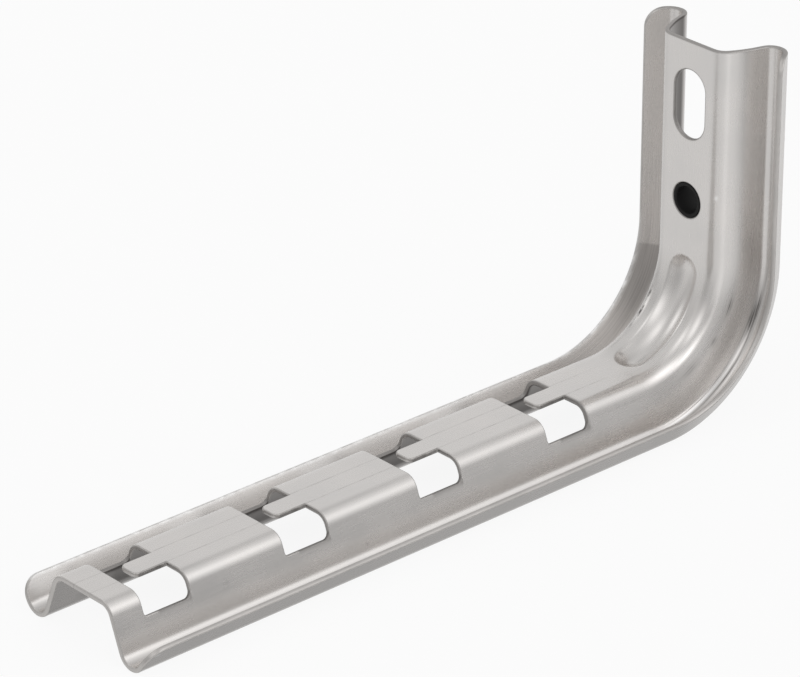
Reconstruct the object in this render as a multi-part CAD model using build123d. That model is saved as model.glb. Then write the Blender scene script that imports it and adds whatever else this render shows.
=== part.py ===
from build123d import *
from math import cos, radians, sin
import os

# A wall bracket folded from one sheet: a short leg that is fixed to the wall and a
# long arm that carries wire tray, with one hat-shaped section all the way round.
# Millimetres and degrees. The origin is the centre of the round fixing hole on the
# leg's face, +X runs out from the wall along the arm, +Z runs up the leg.

# The sheet and its hat section
sheet = 1.5
depth = 17.0
crown_width = 16.6
shoulder_radius = 5.0
wall_lean = 21.5
fold_radius = 5.3
lip_lean = 32.0
lip_corner_radius = 6.0
lip_below_corner = 0.6

# The bend, the notches out along the arm and the tongue over each
bend_radius = 45.5
notch_count = 4
notch_pitch = 50.0
notch_from_bend = 24.0
notch_from_end = 10.2
notch_back_radius = 2.0
notch_front_radius = 1.0
tongue_width = 7.0
tongue_length = 10.8
tongue_corner_radius = 2.0
wire_way_in = 5.5
wire_room = 5.2

# The round hole and the slot up the leg
hole_diameter = 11.0
hole_above_bend = 17.0
slot_above_hole = 30.7
slot_length = 21.7
slot_width = 12.4
top_above_slot = 19.8

# The stiffening bead pressed into the bend, between two turns of the bend
bead_width = 11.2
bead_depth = 1.8
bead_from = 16.0
bead_to = 77.0
skin_into_crown = 0.3
trough_above_crown = 4.0

# The bush in the round hole
bush_bore = 8.6
bush_ledge = 1.4
bush_collar = 1.5
bush_length = 9.0
bush_clearance = 0.05

# The section's other sizes
inner_fold_radius = fold_radius - sheet
wall_tilt = radians(wall_lean)
both_radii = shoulder_radius + inner_fold_radius
wall_length = (depth - sheet - both_radii * (1 - sin(wall_tilt))) / cos(wall_tilt)
fold_centre = crown_width / 2 + both_radii * cos(wall_tilt) + wall_length * sin(wall_tilt)
lip_length = lip_below_corner + lip_corner_radius
crown_bend_radius = bend_radius - depth

# Where things lie along the arm and up the leg
notch_length = tongue_length + wire_way_in
wall_face = -depth
bend_axis_x = wall_face + bend_radius
first_notch = bend_axis_x + notch_from_bend
arm_end = first_notch + (notch_count - 1) * notch_pitch + notch_length + notch_from_end
bend_axis_z = -hole_above_bend
arm_underside = bend_axis_z - bend_radius
leg_top = slot_above_hole + top_above_slot


def half_section():
    """One half of the hat: crown, shoulder, wall, fold and lip, the folds standing on y = 0."""
    crown = Line((0, depth), (crown_width / 2, depth))
    shoulder = JernArc(crown @ 1, crown % 1, shoulder_radius, wall_lean - 90)
    wall = Line(shoulder @ 1, shoulder @ 1 + (shoulder % 1) * wall_length)
    fold = JernArc(wall @ 1, wall % 1, inner_fold_radius, 180 - wall_lean - lip_lean)
    lip = Line(fold @ 1, fold @ 1 + (fold % 1) * lip_length)
    seen_face = Wire([crown, shoulder, wall, fold, lip])
    return make_face(offset(seen_face, amount=sheet, side=Side.RIGHT))


def carried_round(section):
    """A section carried in from the arm's free end, round the bend and up the leg."""
    arm_line = Line((arm_end, 0, arm_underside), (bend_axis_x, 0, arm_underside))
    bend_line = TangentArc(arm_line @ 1, (wall_face, 0, bend_axis_z), tangent=arm_line % 1)
    leg_line = Line(bend_line @ 1, (wall_face, 0, leg_top))
    across_arm = Plane(origin=arm_line @ 0, x_dir=(0, 1, 0), z_dir=(1, 0, 0))
    return sweep(across_arm * section, path=Wire([arm_line, bend_line, leg_line]))


def with_round_lip_corners(body):
    """The four free corners of the lips, at the arm's end and at the leg's top."""
    at_arm_end = body.faces().sort_by(Axis.X)[-1]
    at_leg_top = body.faces().sort_by(Axis.Z)[-1]
    corners = []
    for end_face in (at_arm_end, at_leg_top):
        corners += end_face.edges().sort_by(Axis.Y)[:1]
        corners += end_face.edges().sort_by(Axis.Y)[-1:]
    return fillet(corners, lip_corner_radius)


def notch_cutter():
    """The opening at one notch, its back wall at x = 0, with the tongue's metal left out."""
    bottom = depth - sheet - wire_room
    profile = Pos(notch_length / 2, bottom + depth / 2) * Rectangle(notch_length, depth)
    profile = fillet(profile.vertices().group_by(Axis.Y)[0].sort_by(Axis.X)[0], notch_back_radius)
    profile = fillet(profile.vertices().group_by(Axis.Y)[0].sort_by(Axis.X)[-1], notch_front_radius)
    opening = extrude(Plane.XZ * profile, amount=fold_centre, both=True)

    tongue_outline = Rectangle(2 * tongue_length, tongue_width)
    tip = tongue_outline.vertices().group_by(Axis.X)[-1]
    tongue_outline = fillet(tip, tongue_corner_radius)
    tongue = extrude(Pos(0, 0, depth - sheet) * tongue_outline, amount=sheet)
    return opening - tongue


def bead_form(skin, closed_at):
    """The bead's round-ended trough, grown by a skin and closed at a radius from the bend's axis."""
    half_width = bead_width / 2
    trough_radius = (half_width**2 + bead_depth**2) / (2 * bead_depth)
    ring_radius = crown_bend_radius + bead_depth - trough_radius
    radius = trough_radius + skin
    below_close = Pos(closed_at + radius, 0) * Rectangle(2 * radius, 3 * radius)
    segment = Pos(ring_radius, 0) * Circle(radius) & below_close
    half_segment = segment & Pos(closed_at + radius, radius) * Rectangle(2 * radius, 2 * radius)
    ring = revolve(Plane.XZ * segment, Axis.Z, bead_to - bead_from)
    end_cap = revolve(Plane.XZ * half_segment, Axis.X, 180)
    form = Rot(0, 0, bead_from) * (ring + end_cap)
    return form + Rot(0, 0, bead_to) * mirror(end_cap, about=Plane.XZ)


def with_bead(body):
    """The crown pressed towards the wall inside the bend, the sheet kept at its thickness."""
    round_bend = Plane(origin=(bend_axis_x, 0, bend_axis_z), x_dir=(0, 0, -1), z_dir=(0, 1, 0))
    pressed_skin = bead_form(sheet, crown_bend_radius + skin_into_crown)
    trough = bead_form(0, crown_bend_radius - trough_above_crown)
    return body + round_bend * pressed_skin - round_bend * trough


def through_leg(outline):
    """A cutter through the leg's crown, from an outline drawn with X up the leg."""
    on_crown = Plane(origin=(0, 0, 0), x_dir=(0, 0, 1), z_dir=(1, 0, 0))
    return extrude(on_crown * outline, amount=2 * sheet, both=True)


def bracket_arm():
    """The whole folded and stamped bracket."""
    half = half_section()
    body = carried_round(half + mirror(half, about=Plane.YZ))
    body = with_round_lip_corners(body)
    cutter = notch_cutter()
    for number in range(notch_count):
        body -= Pos(first_notch + number * notch_pitch, 0, arm_underside) * cutter
    body = with_bead(body)
    body -= through_leg(Circle(hole_diameter / 2))
    body -= through_leg(Pos(slot_above_hole, 0) * SlotOverall(slot_length, slot_width))
    return body


def hole_bush():
    """The bush that lines the round hole, flush in front, with its collar behind the sheet."""
    inwards = (Align.CENTER, Align.CENTER, Align.MAX)
    barrel = Cylinder(hole_diameter / 2 - bush_clearance, bush_length, align=inwards)
    collar = Cylinder(hole_diameter / 2 + bush_ledge, bush_collar, align=inwards)
    solid = barrel + Pos(0, 0, -sheet) * collar - Cylinder(bush_bore / 2, 3 * bush_length)
    return Plane(origin=(0, 0, 0), x_dir=(0, 1, 0), z_dir=(1, 0, 0)) * solid


os.makedirs("parts", exist_ok=True)
for name, shape in (("bracket_arm", bracket_arm()), ("hole_bush", hole_bush())):
    shape.label = name
    export_step(shape, f"parts/{name}.step")
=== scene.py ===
# %% [markdown]
# # A folded stainless wall arm
# The real object starts as a flat strip of stainless sheet. A press punches its outline, its
# notches and its holes, and then folds the strip into a hat section and bends it round a
# corner. This lesson does the same in Blender: a flat blank first, and then one Geometry Nodes
# tree that folds it. The first cell loads the measured model, so that everything lines up.

# %% Load the frame
import bpy
import bmesh
import math
from mathutils import Matrix, Vector


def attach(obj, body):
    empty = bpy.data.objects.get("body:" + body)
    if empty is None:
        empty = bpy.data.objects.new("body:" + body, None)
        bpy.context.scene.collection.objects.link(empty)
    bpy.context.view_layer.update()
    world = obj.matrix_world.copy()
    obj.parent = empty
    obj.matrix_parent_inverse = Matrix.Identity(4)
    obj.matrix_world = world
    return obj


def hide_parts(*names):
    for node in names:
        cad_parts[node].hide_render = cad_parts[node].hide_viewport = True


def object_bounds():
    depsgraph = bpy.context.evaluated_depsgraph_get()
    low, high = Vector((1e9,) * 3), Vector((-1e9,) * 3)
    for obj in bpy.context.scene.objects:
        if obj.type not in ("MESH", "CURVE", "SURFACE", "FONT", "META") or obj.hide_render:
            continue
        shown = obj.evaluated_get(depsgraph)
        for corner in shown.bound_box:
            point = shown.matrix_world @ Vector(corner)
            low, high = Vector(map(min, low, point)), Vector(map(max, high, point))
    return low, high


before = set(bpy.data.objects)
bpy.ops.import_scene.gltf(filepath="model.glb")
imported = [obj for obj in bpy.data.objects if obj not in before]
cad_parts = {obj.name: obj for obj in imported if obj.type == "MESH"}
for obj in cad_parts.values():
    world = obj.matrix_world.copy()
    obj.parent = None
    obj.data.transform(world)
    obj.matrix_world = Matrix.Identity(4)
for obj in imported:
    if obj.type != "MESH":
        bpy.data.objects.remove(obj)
cad_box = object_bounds()
print("frame box", [round(v, 4) for v in (*cad_box[0], *cad_box[1])])

# %% [markdown]
# ## The sizes of the bracket
# All sizes are in metres, as Blender wants them. The hat section is described along the middle
# of the sheet, because a sheet keeps its length there when it is folded. Each radius is
# therefore the outside radius less half the sheet.

# %% Sizes of the section
mm = 0.001
sheet = 1.5 * mm
depth = 17.0 * mm
crown_half = 8.3 * mm
shoulder_radius = 5.0 * mm - sheet / 2
fold_radius = 5.3 * mm - sheet / 2
shoulder_turn = math.radians(68.5)
lip_rise = math.radians(58.0)
lip_length = 6.6 * mm

fold_turn = shoulder_turn + lip_rise
straight_drop = depth - sheet - (shoulder_radius + fold_radius) * (1 - math.cos(shoulder_turn))
wall_length = straight_drop / math.sin(shoulder_turn)
shoulder_length = shoulder_radius * shoulder_turn
fold_length = fold_radius * fold_turn
half_strip = crown_half + shoulder_length + wall_length + fold_length + lip_length
print("flat strip", round(2 * half_strip / mm, 1), "mm wide")

# %% [markdown]
# The strip's length is taken along the crown's face, which is the inner side of the bend. The
# arm lies before the bend and the leg after it.

# %% Sizes of the arm, the bend and the leg
bend_radius = 45.5 * mm
bend_axis_x, bend_axis_z = 28.5 * mm, -17.0 * mm
arm_end = 229.0 * mm
leg_top = 50.5 * mm

crown_bend_radius = bend_radius - depth
bend_length = crown_bend_radius * math.pi / 2
arm_length = arm_end - bend_axis_x
leg_length = leg_top - bend_axis_z
print("flat strip", round((arm_length + bend_length + leg_length) / mm, 1), "mm long")

# %% [markdown]
# ## Outlines with round corners
# Every opening in the blank is a polygon whose corners are rounded by the punch. One helper
# takes the sharp corners with a radius each, and puts a short arc in place of each corner.
# Bezier handles could do it too, but plain points keep the later cuts exact.

# %% Helpers for rounded outlines
def rounded(corners, steps=7):
    """Points of a closed outline. Each corner is (x, y, radius)."""
    points = []
    for i, (x, y, radius) in enumerate(corners):
        corner = Vector((x, y))
        if radius == 0:
            points.append(corner)
            continue
        back = (Vector(corners[i - 1][:2]) - corner).normalized()
        ahead = (Vector(corners[(i + 1) % len(corners)][:2]) - corner).normalized()
        half = back.angle(ahead) / 2
        centre = corner + (back + ahead).normalized() * radius / math.sin(half)
        first = corner + back * radius / math.tan(half) - centre
        last = corner + ahead * radius / math.tan(half) - centre
        turn = first.angle_signed(last)
        for k in range(steps + 1):
            points.append(centre + Matrix.Rotation(-turn * k / steps, 2) @ first)
    return points


def rectangle(x0, x1, y0, y1, radius):
    return [(x0, y0, radius), (x1, y0, radius), (x1, y1, radius), (x0, y1, radius)]


def oblong(middle, length, width):
    """A hole with round ends on the strip's middle line, or a round hole if it is square."""
    return rectangle(middle - length / 2, middle + length / 2, -width / 2, width / 2, width / 2)


print("a rounded square has", len(rounded(rectangle(0, 1, 0, 1, 0.2))), "points")

# %% [markdown]
# ## The flat blank
# On the blank, x runs along the strip and is zero where the bend begins, and y runs across it.
# The strip's own outline comes first and has the large round corners that the lips show at both
# ends.

# %% The strip's edge
lip_corner = 6.0 * mm
strip_edge = rectangle(-arm_length, bend_length + leg_length, -half_strip, half_strip, lip_corner)
outlines = [rounded(strip_edge, 12)]
print("strip edge has", len(outlines[0]), "points")

# %% [markdown]
# The four notches are one outline repeated at the mesh pitch of the wire tray. Each outline goes
# round a tongue, which stays on the strip and later holds the wire down.

# %% The notches
notch_count = 4
notch_pitch = 50.0 * mm
notch_from_bend = 24.0 * mm
tongue_length, tongue_half, tongue_corner = 10.8 * mm, 3.5 * mm, 2.0 * mm
wire_way_in = 5.5 * mm
notch_length = tongue_length + wire_way_in
down_the_wall = 3.5 * mm
notch_reach = crown_half + shoulder_length + down_the_wall
back_corner, front_corner = 2.0 * mm, 1.0 * mm


def notch_outline(number):
    """One notch, from the tongue's root round the opening and round the tongue."""
    back = -notch_from_bend - number * notch_pitch
    front = back - notch_length
    tip = back - tongue_length
    return [(back, tongue_half, 0), (back, notch_reach, back_corner),
            (front, notch_reach, front_corner), (front, -notch_reach, front_corner),
            (back, -notch_reach, back_corner), (back, -tongue_half, 0),
            (tip, -tongue_half, tongue_corner), (tip, tongue_half, tongue_corner)]


outlines += [rounded(notch_outline(number)) for number in range(notch_count)]
print("outlines with the notches:", len(outlines))

# %% [markdown]
# The round hole and the slot are on the leg, on the strip's middle line. The hole's place is
# known from the model: it is as far above the bend as the bend's axis is below the origin.

# %% The holes
hole_radius = 5.5 * mm
slot_above_hole, slot_length, slot_width = 30.7 * mm, 21.7 * mm, 12.4 * mm
hole_x = bend_length - bend_axis_z
slot_x = hole_x + slot_above_hole

outlines.append(rounded(oblong(hole_x, 2 * hole_radius, 2 * hole_radius), 12))
outlines.append(rounded(oblong(slot_x, slot_length, slot_width), 14))
print("outlines in all:", len(outlines))

# %% [markdown]
# A two-dimensional curve fills itself between its splines and leaves the holes open. Its extrude
# gives the sheet's thickness and its bevel rounds the punched edges a little, which is what makes
# a metal edge catch the light. The offset takes back what the bevel adds to the outline.

# %% Fill the outlines into a plate
def plain_mesh(made):
    """What an object looks like with its modifiers or its bevel, as a mesh without them."""
    return bpy.data.meshes.new_from_object(
        made.evaluated_get(bpy.context.evaluated_depsgraph_get()))


def add_object(name, data):
    made = bpy.data.objects.new(name, data)
    bpy.context.scene.collection.objects.link(made)
    return made


edge_round = 0.35 * mm
curve = bpy.data.curves.new("flat_blank", "CURVE")
curve.dimensions = "2D"
curve.fill_mode = "BOTH"
curve.extrude = sheet / 2 - edge_round
curve.bevel_depth = edge_round
curve.bevel_resolution = 1
curve.offset = -edge_round
for outline in outlines:
    spline = curve.splines.new("POLY")
    spline.points.add(len(outline) - 1)
    for point, place in zip(spline.points, outline):
        point.co = (*place, 0, 1)
    spline.use_cyclic_u = True
blank_curve = add_object("flat_blank", curve)
plate = plain_mesh(blank_curve)
bpy.data.objects.remove(blank_curve)
print("plate has", len(plate.polygons), "faces")

# %% [markdown]
# ## Lines to fold along
# A flat face can't curve, so the plate is cut along every line where it will fold: fine steps
# over the shoulders and folds, wider ones over the walls, narrow ones under the bead, and a few
# extra lines just beside the curved parts, which stop the shading from leaking into the flat
# ones. A subdivided plane would be simpler, but it would put its lines in the wrong places.

# %% Where the lines run
def steps(low, high, count):
    return [low + (high - low) * k / count for k in range(count + 1)]


shoulder_end = crown_half + shoulder_length
wall_end = shoulder_end + wall_length
fold_end = wall_end + fold_length
bead_middle, bead_edge = 0.55 * mm, 7.15 * mm
beside = 0.4 * mm
across = steps(crown_half, shoulder_end, 9)
across += steps(shoulder_end, wall_end, 6)[1:-1]
across += steps(wall_end, fold_end, 16)
across += [crown_half - beside, shoulder_end + beside, wall_end - beside, fold_end + beside]
across += steps(bead_middle, bead_edge, 12)
across = sorted(across + [-v for v in across])

along = steps(0, bend_length, 72)
for outside in (0.6 * mm, 1.8 * mm):
    along += [-outside, bend_length + outside]
along += [-arm_length + 8 * mm * k for k in range(1, 25)]
along = sorted(along)
print("lines along", len(along), "and across", len(across))

# %% [markdown]
# The curve's filling left long triangles behind. After the cuts, every triangle lies in one cell
# of the new grid, so the edges between triangles of the same cell are dissolved, and each cell
# becomes one clean face again.

# %% Cut the plate into a grid
def is_flat(face):
    return abs(face.normal.z) > 0.999


def cell(face):
    """Which cell of the grid a face lies in."""
    middle = face.calc_center_median()
    return sum(v < middle.x for v in along), sum(v < middle.y for v in across)


bm = bmesh.new()
bm.from_mesh(plate)
bmesh.ops.remove_doubles(bm, verts=bm.verts, dist=1e-6)
cuts = [((v, 0, 0), (1, 0, 0)) for v in along] + [((0, v, 0), (0, 1, 0)) for v in across]
for place, normal in cuts:
    everything = bm.verts[:] + bm.edges[:] + bm.faces[:]
    bmesh.ops.bisect_plane(bm, geom=everything, plane_co=place, plane_no=normal, dist=1e-7)

bm.normal_update()
cells = {face: cell(face) for face in bm.faces if is_flat(face)}
within = [edge for edge in bm.edges
          if len(edge.link_faces) == 2 and all(face in cells for face in edge.link_faces)
          and cells[edge.link_faces[0]] == cells[edge.link_faces[1]]]
bmesh.ops.dissolve_edges(bm, edges=within, use_verts=True)
print("grid faces", len(bm.faces), "open edges", sum(not edge.is_manifold for edge in bm.edges))

# %% [markdown]
# Two things are written on the flat blank before it is folded. Each point keeps its flat place,
# so the rolling grain of the sheet can follow the folds later. Each face of the punched rim is
# marked, because a sheared edge is rougher and darker than the sheet's surface. The line between
# the two is made sharp, so that the rim's shading doesn't leak into the flat faces.

# %% Remember the flat place and the rim
bm.normal_update()
flat_layer = bm.verts.layers.float_vector.new("flat")
rim = bm.faces.layers.bool.new("cut_edge")
for vert in bm.verts:
    vert[flat_layer] = vert.co
for face in bm.faces:
    face[rim] = not is_flat(face)
    face.smooth = True
for edge in bm.edges:
    edge.smooth = edge.link_faces[0][rim] == edge.link_faces[1][rim]
bm.to_mesh(plate)
bm.free()
arm = add_object("folded_arm", plate)
print("rim faces", sum(mark.value for mark in plate.attributes["cut_edge"].data))

# %% [markdown]
# ## Formulas in a node tree
# The fold follows a rule, so a Geometry Nodes tree can do it: it works out, for each flat point,
# where it lands. Long formulas are hard to read as math nodes, so a small class lets the script
# write them with plain signs. Every sign adds one Math node to the tree.

# %% A helper that writes formulas as nodes
class Number:
    """A socket that can be added, multiplied and so on, one Math node for each."""

    def __init__(self, tree, socket):
        self.tree, self.socket = tree, socket

    def apply(self, operation, *others):
        node = self.tree.nodes.new("ShaderNodeMath")
        node.operation = operation
        for slot, value in zip(node.inputs, (self, *others)):
            if isinstance(value, Number):
                self.tree.links.new(value.socket, slot)
            else:
                slot.default_value = value
        return Number(self.tree, node.outputs[0])

    def __add__(self, other):
        return self.apply("ADD", other)

    def __sub__(self, other):
        return self.apply("SUBTRACT", other)

    def __mul__(self, other):
        return self.apply("MULTIPLY", other)

    def __truediv__(self, other):
        return self.apply("DIVIDE", other)

    def absolute(self):
        return self.apply("ABSOLUTE")

    def at_least(self, low):
        return self.apply("MAXIMUM", low)

    def between(self, low, high):
        return self.at_least(low).apply("MINIMUM", high)

    def sin(self):
        return self.apply("SINE")

    def cos(self):
        return self.apply("COSINE")

    def root(self):
        return self.apply("SQRT")

    def ramp(self, start, width):
        """0 up to the start, 1 from a width further on; a negative width runs the other way."""
        return ((self - start) / width).between(0.0, 1.0)

    def bell(self, middle, width):
        """1 at the middle, fading to both sides."""
        away = (self - middle) / width
        return (away * away * -1.0).apply("EXPONENT")


print("formula helper ready")

# %% [markdown]
# ## Fold the strip across
# Going out from the middle, a point passes the flat crown, the shoulder's arc, the leaning wall,
# the fold's arc and the lip. The distance that it has gone in each of these gives its place in
# the section. Every size is an input of the tree with a name, so that the fold can be changed in
# Blender's own window too.

# %% The section's sizes and its formula
fold_sizes = {
    "Crown half": crown_half, "Crown height": depth - sheet / 2,
    "Shoulder radius": shoulder_radius, "Shoulder length": shoulder_length,
    "Wall length": wall_length, "Fold radius": fold_radius, "Fold length": fold_length,
}


def past_the_shoulder(size, across_strip):
    return across_strip.absolute() - size("Crown half") - size("Shoulder length")


def folded_section(size, across_strip, height):
    """How far sideways and how high a point of the strip comes in the section."""
    out = across_strip.absolute()
    past_shoulder = past_the_shoulder(size, across_strip)
    in_shoulder = (out - size("Crown half")).between(0.0, size("Shoulder length"))
    in_wall = past_shoulder.between(0.0, size("Wall length"))
    in_fold = (past_shoulder - size("Wall length")).between(0.0, size("Fold length"))
    in_lip = (past_shoulder - size("Wall length") - size("Fold length")).at_least(0.0)
    shoulder_angle = in_shoulder / size("Shoulder radius")
    fold_angle = in_fold / size("Fold radius")
    full_turn = size("Shoulder length") / size("Shoulder radius")
    lip_angle = size("Fold length") / size("Fold radius") - full_turn
    tilt = fold_angle - shoulder_angle

    sideways = out.apply("MINIMUM", size("Crown half"))
    sideways += size("Shoulder radius") * shoulder_angle.sin()
    sideways += in_wall * full_turn.cos()
    sideways += size("Fold radius") * ((fold_angle - full_turn).sin() + full_turn.sin())
    sideways += in_lip * lip_angle.cos() - height * tilt.sin()
    rise = size("Crown height") - size("Shoulder radius") * (shoulder_angle.cos() * -1.0 + 1.0)
    rise -= in_wall * full_turn.sin()
    rise += size("Fold radius") * (full_turn.cos() - (fold_angle - full_turn).cos())
    rise += in_lip * lip_angle.sin() + height * tilt.cos()
    return sideways, rise


print("sizes of the section:", len(fold_sizes))

# %% [markdown]
# ## The bow in the leg's walls
# Sheet springs back a little when the press opens, and the walls of the leg are left slightly
# bowed outwards. That is under a millimetre, but a flat wall shows one even grey where a bowed
# one shows a soft change. The bow grows through the bend and is full on the leg. Half a cosine
# wave each side of the wall's middle brings it in without a crease.

# %% The bow's formula
fold_sizes.update({"Bend length": bend_length, "Bow on the leg": 0.8 * mm, "Bow reach": 10.4 * mm})


def bowed(size, along_strip, across_strip, height):
    """The height of a point above the sheet's middle, with the bow added."""
    on_leg = (along_strip / size("Bend length")).between(0.0, 1.0)
    from_middle = past_the_shoulder(size, across_strip) - size("Wall length") / 2.0
    swing = (from_middle / size("Bow reach")).between(-1.0, 1.0)
    wave = ((swing * math.pi).cos() + 1.0) / 2.0
    return height + size("Bow on the leg") * on_leg * wave


print("bow on the leg", fold_sizes["Bow on the leg"] / mm, "mm")

# %% [markdown]
# ## The bead in the bend
# A bead stiffens the bend. It is a shallow trough of round section with round ends, pressed away
# from the crown's face. Its depth at a point depends only on how far the point is from the
# bead's middle line, so one formula makes the trough and both its ends. A smooth maximum gives
# the soft rim that a press leaves.

# %% The bead's formula
fold_sizes.update({
    "Bead start": math.radians(16) * crown_bend_radius,
    "Bead end": math.radians(77) * crown_bend_radius,
    "Bead half width": 5.6 * mm, "Bead depth": 1.8 * mm, "Bead rim": 0.3 * mm,
})


def bead_depth(size, along_strip, across_strip):
    """How deep the bead sinks below the crown's face at a point."""
    beyond = along_strip - along_strip.between(size("Bead start"), size("Bead end"))
    from_line = beyond * beyond + across_strip * across_strip
    half, deep = size("Bead half width"), size("Bead depth")
    trough = (half * half + deep * deep) / (deep * 2.0)
    sinking = (trough * trough - from_line).at_least(0.0).root() - trough + deep
    return sinking.apply("SMOOTH_MAX", 0.0, size("Bead rim"))


print("bead from", round(fold_sizes["Bead start"] / mm, 1), "to",
      round(fold_sizes["Bead end"] / mm, 1), "mm along the strip")

# %% [markdown]
# ## Along the arm, round the bend, up the leg
# The folded section is carried along a line, an arc and a line again. An angle that stays at
# zero along the arm, and at a quarter turn up the leg, joins the three in one formula. A Curve
# modifier could do it, but the flat place would then be lost.

# %% The path's formula
fold_sizes.update({
    "Bend radius": bend_radius, "Crown bend radius": crown_bend_radius,
    "Bend axis x": bend_axis_x, "Bend axis z": bend_axis_z,
})


def along_the_bracket(size, along_strip, rise):
    """Where a point at this height in the section comes in the side view."""
    angle = along_strip.between(0.0, size("Bend length")) / size("Crown bend radius")
    reach = size("Bend radius") - rise
    out_on_arm = (along_strip * -1.0).at_least(0.0)
    up_on_leg = (along_strip - size("Bend length")).at_least(0.0)
    x = size("Bend axis x") - reach * angle.sin() + out_on_arm
    z = size("Bend axis z") - reach * angle.cos() + up_on_leg
    return x, z


print("sizes of the fold:", len(fold_sizes))

# %% [markdown]
# ## The folding tree
# The tree takes the flat blank, moves every point to where the formulas say, and sets the two
# finishes: the sheet's everywhere, and then the sheared one on the marked rim. The inputs for
# the finishes are filled later, when the materials exist.

# %% Build the folding tree
def set_finish(tree, geometry, finish, only_on=None):
    """A Set Material node, on all faces or only on the marked ones."""
    node = tree.nodes.new("GeometryNodeSetMaterial")
    tree.links.new(geometry, node.inputs["Geometry"])
    tree.links.new(finish, node.inputs["Material"])
    if only_on is not None:
        tree.links.new(only_on, node.inputs["Selection"])
    return node.outputs["Geometry"]


def folding_tree():
    tree = bpy.data.node_groups.new("Fold the blank", "GeometryNodeTree")
    face = tree.interface
    face.new_socket("Geometry", in_out="INPUT", socket_type="NodeSocketGeometry")
    for name, value in fold_sizes.items():
        socket = face.new_socket(name, in_out="INPUT", socket_type="NodeSocketFloat")
        socket.default_value = value
    for name in ("Sheet finish", "Edge finish"):
        face.new_socket(name, in_out="INPUT", socket_type="NodeSocketMaterial")
    face.new_socket("Geometry", in_out="OUTPUT", socket_type="NodeSocketGeometry")
    nodes, link = tree.nodes, tree.links.new
    given, result = nodes.new("NodeGroupInput"), nodes.new("NodeGroupOutput")

    def size(name):
        return Number(tree, given.outputs[name])

    split = nodes.new("ShaderNodeSeparateXYZ")
    link(nodes.new("GeometryNodeInputPosition").outputs[0], split.inputs[0])
    along_strip, across_strip, height = (Number(tree, socket) for socket in split.outputs)
    height = bowed(size, along_strip, across_strip, height)
    sideways, rise = folded_section(size, across_strip, height)
    rise -= bead_depth(size, along_strip, across_strip)
    x, z = along_the_bracket(size, along_strip, rise)
    y = sideways * across_strip.apply("SIGN") * -1.0

    place = nodes.new("ShaderNodeCombineXYZ")
    for slot, value in zip(place.inputs, (x, y, z)):
        link(value.socket, slot)
    move = nodes.new("GeometryNodeSetPosition")
    link(given.outputs["Geometry"], move.inputs["Geometry"])
    link(place.outputs[0], move.inputs["Position"])
    real = nodes.new("GeometryNodeRealizeInstances")
    link(move.outputs[0], real.inputs[0])

    marked = nodes.new("GeometryNodeInputNamedAttribute")
    marked.data_type = "BOOLEAN"
    marked.inputs["Name"].default_value = "cut_edge"
    painted = set_finish(tree, real.outputs[0], given.outputs["Sheet finish"])
    painted = set_finish(tree, painted, given.outputs["Edge finish"], marked.outputs["Attribute"])
    link(painted, result.inputs[0])
    return tree


fold = folding_tree()
print("folding tree has", len(fold.nodes), "nodes")

# %% [markdown]
# ## Small helpers for shader nodes
# The finishes are made of shader nodes, and most of them need the same few lines: a node with
# its values, an empty group with its sockets, a group placed in a material, and a material with
# its shader at hand. Helpers for these keep the recipes below short enough to read.

# %% Helpers for materials and groups
def new_node(tree, kind, **values):
    """A node with its settings and its inputs' values."""
    node = tree.nodes.new(kind)
    for name, value in values.items():
        if hasattr(node, name):
            setattr(node, name, value)
        else:
            node.inputs[name.replace("_", " ")].default_value = value
    return node


def new_group(name, outputs):
    """An empty shader group that reads the flat place: the group, its input and its output."""
    group = bpy.data.node_groups.new(name, "ShaderNodeTree")
    face = group.interface
    face.new_socket("Flat place", in_out="INPUT", socket_type="NodeSocketVector")
    for socket in outputs:
        face.new_socket(socket, in_out="OUTPUT", socket_type="NodeSocketFloat")
    return group, group.nodes.new("NodeGroupInput"), group.nodes.new("NodeGroupOutput")


def place_group(tree, group, place):
    """Put a group in a material and give it the place to read."""
    node = tree.nodes.new("ShaderNodeGroup")
    node.node_tree = group
    tree.links.new(place, node.inputs["Flat place"])
    return node


def new_material(name):
    material = bpy.data.materials.new(name)
    material.use_nodes = True
    return material, material.node_tree, material.node_tree.nodes["Principled BSDF"]


print("shader helpers ready")

# %% [markdown]
# ## The steel's grain
# Rolled stainless sheet is a dull, even grey with a faint grain from the rolls. The grain runs
# along the strip, so its noise is stretched along the flat place that each point remembers, and
# it follows the folds by itself. A second, larger noise gives warm and cool clouds, and a third
# one gives the slow waves that no sheet is free of.

# %% Rolled grain as a shader node group
def stretched(group, vector, scales):
    """The flat place multiplied by three scales, which stretches a texture that reads it."""
    node = new_node(group, "ShaderNodeVectorMath", operation="MULTIPLY")
    node.inputs[1].default_value = scales
    group.links.new(vector, node.inputs[0])
    return node.outputs[0]


def rolled_grain():
    """Streaks along the strip, clouds and slow waves in the sheet, each from 0 to 1."""
    group, given, result = new_group("Rolled grain", ("Streaks", "Clouds", "Waves"))
    flat_place = given.outputs["Flat place"]
    along_grain = stretched(group, flat_place, (0.08, 1.0, 1.0))
    for name, place, scale, detail, roughness in (
            ("Streaks", along_grain, 1500.0, 2.0, 0.6),
            ("Clouds", flat_place, 45.0, 4.0, 0.55),
            ("Waves", flat_place, 110.0, 1.0, 0.55)):
        noise = new_node(group, "ShaderNodeTexNoise",
                         Scale=scale, Detail=detail, Roughness=roughness)
        group.links.new(place, noise.inputs["Vector"])
        group.links.new(noise.outputs["Fac"], result.inputs[name])
    return group


grain_group = rolled_grain()
print("grain group has", len(grain_group.nodes), "nodes")
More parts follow.
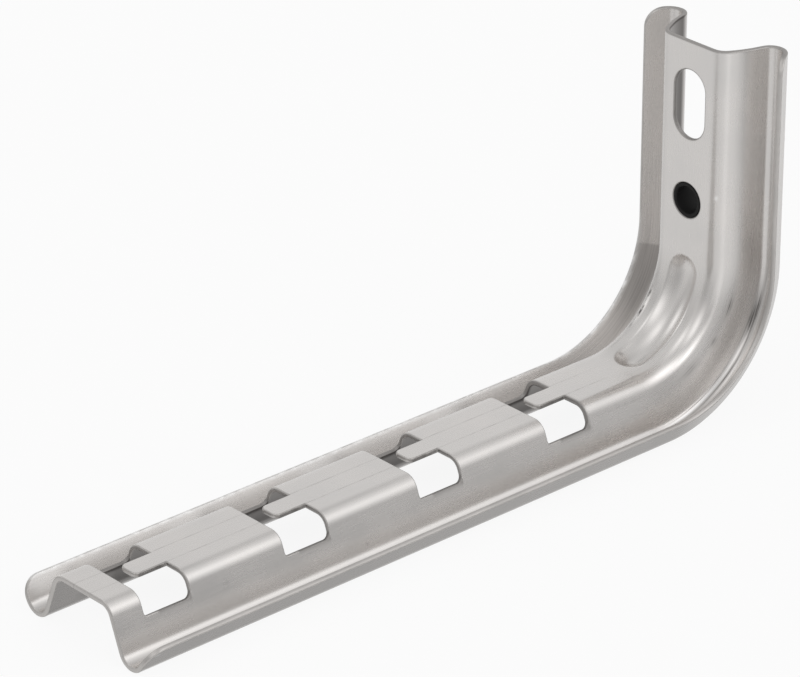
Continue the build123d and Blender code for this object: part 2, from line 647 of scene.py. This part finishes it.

# %% [markdown]
# ## Marks from the press, and painted light
# The press leaves its traces, and they stay with the sheet. They are painted on the flat place, in
# millimetres along and across the strip, as soft oval patches and bands, and so are some painted
# shade and painted highlights. Two noises break them up: fine scratches along the strip, and small
# blotches. A painted image could hold the marks too, but patches stay sharp at any size.

# %% A helper that paints on the flat place
class FlatPlace:
    """The flat place in millimetres inside a shader group, and ways to paint on it."""

    def __init__(self, group, vector):
        self.group, self.vector = group, vector
        split = group.nodes.new("ShaderNodeSeparateXYZ")
        group.links.new(vector, split.inputs[0])
        self.along, self.across, height = (Number(group, s) * 1000.0 for s in split.outputs)
        self.off_middle = self.across.absolute()
        # The outer face is at 0.75 mm and the inner one at -0.75 mm.
        self.outer_face = height.ramp(-0.375, 0.25)
        self.inner_face = height.ramp(-0.375, -0.25)
        self.scratchy = self.noise((60.0, 2600.0, 0.0), 7.0)
        self.broken = self.noise((330.0, 700.0, 0.0), 6.0)
        self.worn = self.scratchy * 0.7 + 0.3

    def noise(self, scales, contrast):
        texture = new_node(self.group, "ShaderNodeTexNoise", Scale=1.0, Detail=3.0, Roughness=0.6)
        self.group.links.new(stretched(self.group, self.vector, scales), texture.inputs["Vector"])
        return ((Number(self.group, texture.outputs["Fac"]) - 0.45) * contrast).between(0.0, 1.0)

    def patch(self, along_middle, along_width, across_middle, across_width):
        return (self.along.bell(along_middle, along_width)
                * self.across.bell(across_middle, across_width))


print("paint helper ready")

# %% [markdown]
# Round the bend the metal was drawn over the tool. The near fold is galled there, the near wall
# has three dull rub marks, and the far edge of the crown is scuffed. A few specks lie elsewhere.
# One line in the near fold is painted shade, the dark line between its two painted highlights.
# Each row gives the middle and the width along the strip, the same across it, the depth of tone,
# and the noise that breaks the mark up.

# %% Rub marks, and painted shade in the near fold
rubs_and_shade_places = {
    "galled spot in the near fold": (33.0, 4.5, -26.8, 1.1, 1.7, "worn"),
    # Painted shade: a dark line between the two painted highlights in the near fold.
    "painted shade line in the near fold": (20.0, 15.0, -28.0, 0.45, 0.95, "half worn"),
    "thin line beside it": (18.0, 13.0, -26.0, 0.25, 0.9, "scratchy"),
    "scuffed far edge of the crown": (24.5, 6.5, 9.9, 0.55, 1.4, "broken"),
    "scuff below the near shoulder": (-12.0, 12.0, -14.7, 0.35, 0.25, "broken"),
    "upper rub mark": (33.2, 2.6, -17.7, 0.7, 0.9, "worn"),
    "middle rub mark": (24.2, 1.4, -17.5, 1.0, 0.5, "worn"),
    "lower rub mark": (15.0, 3.2, -16.7, 1.2, 0.55, "worn"),
    "speck low on the arm's wall": (-112.3, 0.5, -22.9, 0.45, 0.6, "worn"),
    "speck high on the arm's wall": (-161.7, 0.7, -17.1, 0.6, 0.5, "worn"),
    "nick at the top of the near lip": (107.4, 0.6, -39.0, 0.6, 0.8, "worn"),
}


def rubs_and_painted_shade(flat):
    """The rub marks with a painted shade line, the lines beside the tongues and the scratches on
    the drawn lips.
    """
    noises = {"worn": flat.worn, "half worn": flat.scratchy * 0.5 + 0.5,
              "scratchy": flat.scratchy, "broken": flat.broken}
    beside_tongue = flat.off_middle.bell(3.5, 0.22) * flat.along.ramp(-4.0, -10.0)
    drawn_lip = flat.off_middle.ramp(27.0, 1.0) * flat.along.bell(30.0, 32.0)
    dark = beside_tongue * (flat.broken + 0.6) * 0.17 + drawn_lip * flat.scratchy * 0.15
    for *place, tone, noise in rubs_and_shade_places.values():
        dark += flat.patch(*place) * noises[noise] * tone
    return dark * flat.outer_face


print("rubbed places:", len(rubs_and_shade_places))

# %% [markdown]
# A punch drags the metal over at the rim of an opening, and the rolled curve there shows the dark
# round it. That dark band is painted shade, not shaped. The band is a fade with the distance from
# the outline. For the notches that distance is measured in one pitch and repeated, and only the
# back half of a notch shows the band. The round hole and the slot share one formula, because a
# round hole is a slot with no straight sides.

# %% Painted shade bands round the openings
def rim_shade_bands(flat):
    in_pitch = (flat.along * -1.0 - notch_from_bend / mm).apply("MODULO", notch_pitch / mm)
    from_middle = in_pitch - notch_length / mm / 2
    past_back = (from_middle.absolute() - notch_length / mm / 2).at_least(0.0)
    past_side = (flat.off_middle - notch_reach / mm).at_least(0.0)
    from_notch = past_back * past_back * 1.8 + past_side * past_side * 1.1
    # Painted shade: the dark band of the rolled rim round each notch.
    band = (from_notch * -1.0).apply("EXPONENT") * flat.along.ramp(-22.0, -1.0)
    band *= from_middle.ramp(4.0, -1.0) * flat.off_middle.ramp(3.2, 0.5)
    # The same painted shade round the round hole and the slot.
    for middle, straight, radius in ((hole_x, 0.0, hole_radius),
                                     (slot_x, (slot_length - slot_width) / 2, slot_width / 2)):
        beyond = ((flat.along - middle / mm).absolute() - straight / mm).at_least(0.0)
        from_rim = (beyond * beyond + flat.across * flat.across).root() - radius / mm
        band += from_rim.at_least(0.0).bell(0.0, 0.4) * 0.8
    return band


print("bands from", round(notch_reach / mm, 1), "mm beside the middle line")

# %% [markdown]
# Some places are dark without a mark. The far lip round the bend gets painted shade, up to a sharp
# edge. The inside of the channel gets painted shade, most of all down its walls. The leg's upper
# end has a dull line along its sheared edge.

# %% Painted shade, and the leg's dull edge
def painted_shade_and_leg_edge(flat):
    # Painted shade on the far lip round the bend, up to a sharp edge.
    far_lip_shade = (flat.across.ramp(31.0, 2.0) * flat.along.ramp(12.0, 14.0)
               * flat.along.ramp(38.5, -0.5))
    # Painted shade inside the channel, darker down its walls.
    channel_shade = (flat.inner_face * flat.off_middle.ramp(25.0, -2.0)
                  * flat.along.ramp(-192.0, 14.0))
    down_wall = flat.off_middle.ramp(13.0, 9.0)
    leg_end = flat.along.ramp(111.5, 0.71)
    return far_lip_shade * 0.28 + channel_shade * (down_wall * 0.35 + 0.5) + leg_end * 0.35


print("leg ends at", round((bend_length + leg_length) / mm, 1), "mm along the strip")

# %% [markdown]
# Bright places are painted the same way: two painted highlights in the near fold, a painted
# highlight along the far lip's edge on the arm, and two bright specks. The group puts out both
# masks, the dark one and the bright one.

# %% Marks and painted light as a shader node group
def painted_highlights_and_specks(flat):
    # Painted highlights: two bright lines in the near fold.
    fold_highlights = flat.patch(9.0, 11.0, -26.9, 0.35) * (flat.worn + 0.2)
    fold_highlights += flat.patch(22.0, 8.0, -29.6, 0.4) * flat.worn * 0.7
    # A painted highlight along the far lip's edge on the arm.
    lip_edge_highlight = flat.across.ramp(39.3, 0.83) * flat.along.ramp(50.0, -20.0)
    specks = flat.patch(65.9, 0.72, -10.9, 0.45) + flat.patch(-196.6, 0.8, -39.0, 0.5)
    return fold_highlights * flat.outer_face + lip_edge_highlight * (flat.broken * 0.5 + 0.5) + specks


def press_marks_and_painted_light():
    """Dark traces with painted shade, and bright specks with painted highlights, each from 0 to 1.
    """
    group, given, result = new_group("Press marks and painted light", ("Dark", "Bright"))
    flat = FlatPlace(group, given.outputs["Flat place"])
    dark = rubs_and_painted_shade(flat) + rim_shade_bands(flat) * 0.5 + painted_shade_and_leg_edge(flat)
    group.links.new(dark.between(0.0, 1.0).socket, result.inputs["Dark"])
    group.links.new(painted_highlights_and_specks(flat).between(0.0, 1.0).socket, result.inputs["Bright"])
    return group


marks_and_light_group = press_marks_and_painted_light()
print("marks group has", len(marks_and_light_group.nodes), "nodes")

# %% [markdown]
# ## The two steel finishes
# Both finishes are one recipe. The sheet's surface is smoother and paler, and the sheared edge
# is darker and rougher. The waves in the sheet are almost flat, a hundredth of a millimetre or
# two over some millimetres, but they are what makes a reflection in real sheet look alive.

# %% A recipe for steel
def mixed(tree, low, high, factor):
    """A colour between two others. Each is a socket or three numbers."""
    node = new_node(tree, "ShaderNodeMix", data_type="RGBA")
    for name, colour in (("A", low), ("B", high)):
        if isinstance(colour, tuple):
            node.inputs[name].default_value = (*colour, 1)
        else:
            tree.links.new(colour, node.inputs[name])
    tree.links.new(factor, node.inputs["Factor"])
    return node.outputs["Result"]


# The dark colour stands for stains and for painted shade, and the pale one for bright specks and
# painted highlights.
stain_and_shade, bare_metal_and_highlight = (0.14, 0.13, 0.125), (0.97, 0.96, 0.95)


def steel(name, cool, warm, rough_low, rough_high, wave_height):
    material, tree, shader = new_material(name)
    link = tree.links.new
    flat_place = new_node(tree, "ShaderNodeAttribute", attribute_name="flat").outputs["Vector"]
    grain = place_group(tree, grain_group, flat_place)
    # The group's masks carry painted shade and painted highlights as well as the press marks.
    marks = place_group(tree, marks_and_light_group, flat_place)
    streaks, clouds = (Number(tree, grain.outputs[mask]) for mask in ("Streaks", "Clouds"))

    warmth = ((clouds - 0.5) * 1.8 + (streaks - 0.5) * 0.6 + 0.5).between(0.0, 1.0)
    tone = mixed(tree, cool, warm, warmth.socket)
    tone = mixed(tree, tone, stain_and_shade, marks.outputs["Dark"])
    tone = mixed(tree, tone, bare_metal_and_highlight, marks.outputs["Bright"])
    link(tone, shader.inputs["Base Color"])

    rough = (clouds * 0.6 + streaks * 0.4) * (rough_high - rough_low) + rough_low
    rough += Number(tree, marks.outputs["Dark"]) * 0.25
    link(rough.socket, shader.inputs["Roughness"])
    shader.inputs["Metallic"].default_value = 1.0

    waves = new_node(tree, "ShaderNodeBump", Strength=1.0, Distance=wave_height)
    link(grain.outputs["Waves"], waves.inputs["Height"])
    fine = new_node(tree, "ShaderNodeBump", Strength=0.12, Distance=0.03 * mm)
    link(grain.outputs["Streaks"], fine.inputs["Height"])
    link(waves.outputs[0], fine.inputs["Normal"])
    link(fine.outputs[0], shader.inputs["Normal"])
    return material


sheet_steel = steel("rolled_stainless", cool=(0.705, 0.686, 0.671), warm=(0.778, 0.750, 0.728),
                    rough_low=0.22, rough_high=0.32, wave_height=0.02 * mm)
edge_steel = steel("sheared_edge", cool=(0.48, 0.465, 0.45), warm=(0.63, 0.605, 0.585),
                   rough_low=0.32, rough_high=0.45, wave_height=0.1 * mm)
print("steel finishes", sheet_steel.name, edge_steel.name)

# %% [markdown]
# ## Run the fold
# The modifier gets its sizes by each socket's identifier. The folded result is then taken out as a
# plain mesh, and the modifier is removed.

# %% Fold, and keep the plain mesh
modifier = arm.modifiers.new("fold", "NODES")
modifier.node_group = fold
values = {**fold_sizes, "Sheet finish": sheet_steel, "Edge finish": edge_steel}
for item in fold.interface.items_tree:
    if item.in_out == "INPUT" and item.name in values:
        modifier[item.identifier] = values[item.name]
folded = plain_mesh(arm)
arm.modifiers.remove(modifier)
arm.data = folded
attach(arm, "root")
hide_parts("bracket_arm")
print("folded arm", len(folded.polygons), "faces", [round(v / mm, 1) for v in arm.dimensions])

# %% [markdown]
# ## The black bush
# The round hole is lined by a small plastic bush. It is a turned shape, so a short profile is
# spun about the hole's axis. Its rims are rounded, which gives the faint light ring that shows
# inside the hole. The profile goes once round the wall: the front rim, the barrel, the collar
# behind the sheet and the long sleeve.

# %% Spin the bush
def spun(name, profile, segments):
    """A closed ring about the x axis from a closed profile of (x, radius) points."""
    bm = bmesh.new()
    ring = [bm.verts.new((x, 0, radius)) for x, radius in profile]
    edges = [bm.edges.new((ring[i - 1], ring[i])) for i in range(len(ring))]
    bmesh.ops.spin(bm, geom=ring + edges, axis=(1, 0, 0), cent=(0, 0, 0),
                   steps=segments, angle=2 * math.pi)
    bmesh.ops.remove_doubles(bm, verts=bm.verts, dist=1e-6)
    bmesh.ops.recalc_face_normals(bm, faces=bm.faces)
    for face in bm.faces:
        face.smooth = True
    mesh = bpy.data.meshes.new(name)
    bm.to_mesh(mesh)
    bm.free()
    return add_object(name, mesh)


gap_in_hole, collar_ledge, collar_length, bush_length = 0.05 * mm, 1.4 * mm, 1.5 * mm, 9 * mm
bore, barrel, collar = 4.3 * mm, hole_radius - gap_in_hole, hole_radius + collar_ledge
collar_back, sleeve_end = -sheet - collar_length, -bush_length
mouth_round, front_round, small_round = 0.4 * mm, 0.25 * mm, 0.3 * mm
bush_profile = [(0, bore, mouth_round), (0, barrel, front_round),
                (-sheet, barrel, 0), (-sheet, collar, small_round),
                (collar_back, collar, small_round), (collar_back, barrel, 0),
                (sleeve_end, barrel, small_round), (sleeve_end, bore, small_round)]
bush = spun("hole_liner", [tuple(point) for point in rounded(bush_profile, 4)], 72)
bush.data.set_sharp_from_angle(angle=math.radians(50))
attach(bush, "root")
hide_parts("hole_bush")
print("bush", [round(v / mm, 1) for v in bush.dimensions], "mm")

# %% [markdown]
# Moulded black plastic isn't pure black and isn't smooth: it has a fine sparkle of texture from
# the mould. One noise in the colour, the roughness and the bump is enough at this size.

# %% The bush's material
black, tree, shader = new_material("moulded_black")
place = tree.nodes.new("ShaderNodeTexCoord")
speckle = new_node(tree, "ShaderNodeTexNoise", Scale=2500.0, Detail=2.0)
tree.links.new(place.outputs["Object"], speckle.inputs["Vector"])
tint = mixed(tree, (0.004, 0.004, 0.004), (0.010, 0.009, 0.009), speckle.outputs["Fac"])
tree.links.new(tint, shader.inputs["Base Color"])
rough = Number(tree, speckle.outputs["Fac"]) * 0.2 + 0.5
tree.links.new(rough.socket, shader.inputs["Roughness"])
relief = new_node(tree, "ShaderNodeBump", Strength=0.2, Distance=0.05 * mm)
tree.links.new(speckle.outputs["Fac"], relief.inputs["Height"])
tree.links.new(relief.outputs[0], shader.inputs["Normal"])
shader.inputs["Specular IOR Level"].default_value = 0.25
bush.data.materials.append(black)
print("bush finished in", black.name)

# %% [markdown]
# ## The floor
# The bracket stands on white, as in a catalogue. The floor is white to the camera and keeps a
# trace of the bracket's shadow, because a tenth of what the camera sees is the lit floor. It is
# one-sided, so that the bracket can also be looked at from below.

# %% A white floor
floor_mesh = bpy.data.meshes.new("floor")
floor_half, floor_z = 6.0, cad_box[0].z
floor_corners = [(x * floor_half, y * floor_half, floor_z)
                 for x, y in ((-1, -1), (1, -1), (1, 1), (-1, 1))]
floor_mesh.from_pydata(floor_corners, [], [(0, 1, 2, 3)])
floor = add_object("floor", floor_mesh)
print("floor at", round(floor_z / mm, 1), "mm")

# %% [markdown]
# The floor's material mixes three shaders: a plain matt white, a white light that only the
# camera sees, and, on the lower side, nothing at all. Steel is a mirror, so the floor is left
# out of its reflections, and the painted sky goes on below the horizon instead.

# %% The floor's material
floor_paint, tree, matt = new_material("floor_white")
matt.inputs["Base Color"].default_value = (0.8, 0.8, 0.8, 1)
matt.inputs["Roughness"].default_value = 0.9
matt.inputs["Specular IOR Level"].default_value = 0.0
white = new_node(tree, "ShaderNodeEmission", Color=(1, 1, 1, 1), Strength=1.0)
clear = tree.nodes.new("ShaderNodeBsdfTransparent")
rays = tree.nodes.new("ShaderNodeLightPath")
side = tree.nodes.new("ShaderNodeNewGeometry")
to_camera = Number(tree, rays.outputs["Is Camera Ray"]) * 0.9


def mixed_shader(tree, low, high, factor):
    node = tree.nodes.new("ShaderNodeMixShader")
    for slot, socket in zip(node.inputs, (factor, low, high)):
        tree.links.new(socket, slot)
    return node.outputs[0]


upper_side = mixed_shader(tree, matt.outputs[0], white.outputs[0], to_camera.socket)
both_sides = mixed_shader(tree, upper_side, clear.outputs[0], side.outputs["Backfacing"])
tree.links.new(both_sides, tree.nodes["Material Output"].inputs["Surface"])
floor_mesh.materials.append(floor_paint)
floor.visible_glossy = False
print("floor finished in", floor_paint.name)

# %% [markdown]
# ## The sky
# Steel has no look of its own, it shows what stands round it. The room is therefore painted on
# the sky: pale all round, brighter where the soft boxes hang, and darker where black flags
# stand. Each one is a round spot that fades outwards, with its direction in degrees round and
# up, its spread in degrees and its strength. To the camera the sky is plain white.

# %% Soft boxes and flags
room_level = 0.81
sky_lights = {
    "main soft box": (113, 47, 18, 0.98),
    "side strip": (96, 20, 7, 1.21),
    "gap below the strip": (73, 7, 14, -1.26),
    "front soft box": (31, 41, 20, 1.53),
    "top strip": (-38, 58, 13, 0.70),
    "far side strip": (-74, 21, 13, 1.52),
    "narrow far gap": (-113, 29, 5, -0.46),
    "wide side light": (82, 8, 25, 1.18),
    "wall flag": (110, -5, 20, -1.08),
    "low flag": (99, -10, 13, -1.34),
    "low side light": (111, -13, 10, 2.84),
    "front flag": (-11, 4, 21, -0.30),
    "far flag": (-85, -1, 28, -0.16),
    "ceiling flag": (-140, 59, 18, -0.28),
    "front gap": (39, 37, 33, -0.97),
    "far wall flag": (-70, 22, 22, -0.77),
    "shade under the arm": (165, -65, 28, -0.55),
}
print("sky lights", len(sky_lights))

# %% [markdown]
# Each spot is a fade with the angle between its own direction and the one that a ray looks in.
# The dot product of the two directions gives the cosine of that angle, and an exponential of it
# falls off softly. All the spots are added to the room's level.

# %% Paint the sky
world = bpy.data.worlds.new("studio")
bpy.context.scene.world = world
world.use_nodes = True
sky = world.node_tree
looking = sky.nodes.new("ShaderNodeTexCoord")


def sky_spot(azimuth, elevation, spread, strength):
    turned, raised = math.radians(azimuth), math.radians(elevation)
    towards = new_node(sky, "ShaderNodeVectorMath", operation="DOT_PRODUCT")
    towards.inputs[1].default_value = (math.cos(raised) * math.cos(turned),
                                       math.cos(raised) * math.sin(turned), math.sin(raised))
    sky.links.new(looking.outputs["Generated"], towards.inputs[0])
    cosine = Number(sky, towards.outputs["Value"])
    return ((cosine - 1.0) / (1 - math.cos(math.radians(spread)))).apply("EXPONENT") * strength


spots = [sky_spot(*light) for light in sky_lights.values()]
brightness = spots[0] + room_level
for spot in spots[1:]:
    brightness += spot
rays = sky.nodes.new("ShaderNodeLightPath")
seen = new_node(sky, "ShaderNodeMix", data_type="FLOAT", B=1.0)
sky.links.new(rays.outputs["Is Camera Ray"], seen.inputs["Factor"])
sky.links.new(brightness.at_least(0.0).socket, seen.inputs["A"])
background = sky.nodes["Background"]
sky.links.new(seen.outputs["Result"], background.inputs["Strength"])
background.inputs["Color"].default_value = (1, 1, 1, 1)
print("sky has", len(sky.nodes), "nodes")

# %% [markdown]
# ## The camera
# The camera stands where the photograph was taken from: far away, with a long lens, a little
# above the arm and out past its free end. Its directions are written down as measured, and made
# exactly square to each other here.

# %% Place the camera
optics = bpy.data.cameras.new("camera")
optics.sensor_width, optics.lens = 36.0, 204.4
optics.shift_x, optics.shift_y = -0.0656, -0.0254
optics.clip_end = 20.0
camera = add_object("camera", optics)
look = Vector((-0.6095, -0.6627, -0.4351)).normalized()
right = Vector((-0.7372, 0.6756, 0.0038))
right = (right - right.dot(look) * look).normalized()
up = right.cross(look)
turned = Matrix((right, up, -look)).transposed().to_4x4()
camera.matrix_world = Matrix.Translation((0.8793, 0.8541, 0.5524)) @ turned
bpy.context.scene.camera = camera
bpy.context.scene.view_settings.view_transform = "Standard"
print("camera", round(camera.location.length, 3), "m from the hole")
